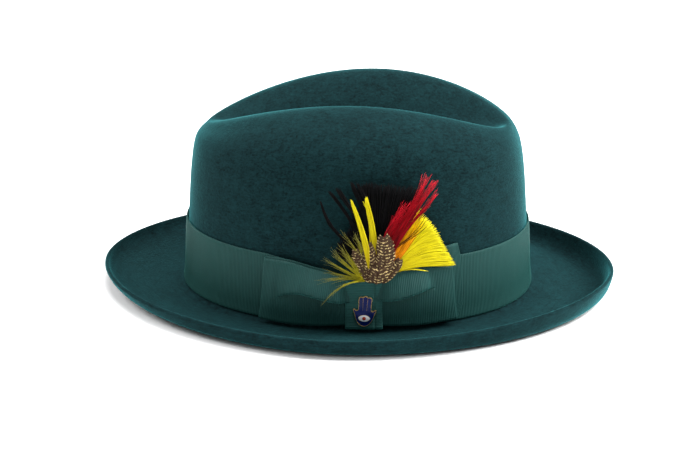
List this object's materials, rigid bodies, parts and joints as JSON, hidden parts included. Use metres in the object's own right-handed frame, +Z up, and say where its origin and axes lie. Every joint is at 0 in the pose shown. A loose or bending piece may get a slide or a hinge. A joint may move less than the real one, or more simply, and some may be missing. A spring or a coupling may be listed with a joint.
{
  "type": "trilby hat",
  "caption": "Felt trilby with a teardrop crown, a curled brim, a ribbon band with a flat bow, a feather mount and a small enamelled hand pin.",
  "frame": {"origin": "middle of the hat's plan at the flat underside of the brim, which rests on the surface at z = 0", "axes": "+X towards the back of the hat (the wearer looks along -X), -Y the wearer's left side with the bow, +Z up"},
  "size_m": [0.3045, 0.2478, 0.121],
  "materials": {
    "felt": "matte fur felt with a short mottled nap",
    "ribbon": "grosgrain ribbon with fine crosswise ribs and a soft sheen",
    "feather_black": "dyed feather barbs, slightly glossy",
    "feather_yellow": "dyed feather barbs, soft sheen",
    "feather_orange": "dyed feather barbs, soft sheen",
    "feather_red": "dyed hackle barbs, soft sheen",
    "feather_olive": "loose hackle barbs, yellow to brown",
    "feather_speckled": "barred brown and cream hackle",
    "gold": "polished gold-coloured plate",
    "enamel_blue": "glossy hard enamel",
    "enamel_white": "glossy hard enamel",
    "enamel_red": "glossy hard enamel"
  },
  "bodies": {
    "root": {"felt_body": "felt", "hat_band": "ribbon", "bow_tail": "ribbon", "bow_loop_left": "ribbon", "bow_loop_right": "ribbon", "bow_knot": "ribbon", "feather_black": "feather_black", "feather_yellow_fan": "feather_yellow", "feather_orange": "feather_orange", "feather_yellow_spikes": "feather_yellow", "feather_red": "feather_red", "feather_olive": "feather_olive", "feather_speckled": "feather_speckled", "pin_plate": "gold", "pin_enamel": "enamel_blue", "pin_eye": "enamel_white", "pin_pupil": "enamel_red"}
  },
  "joints": []
}
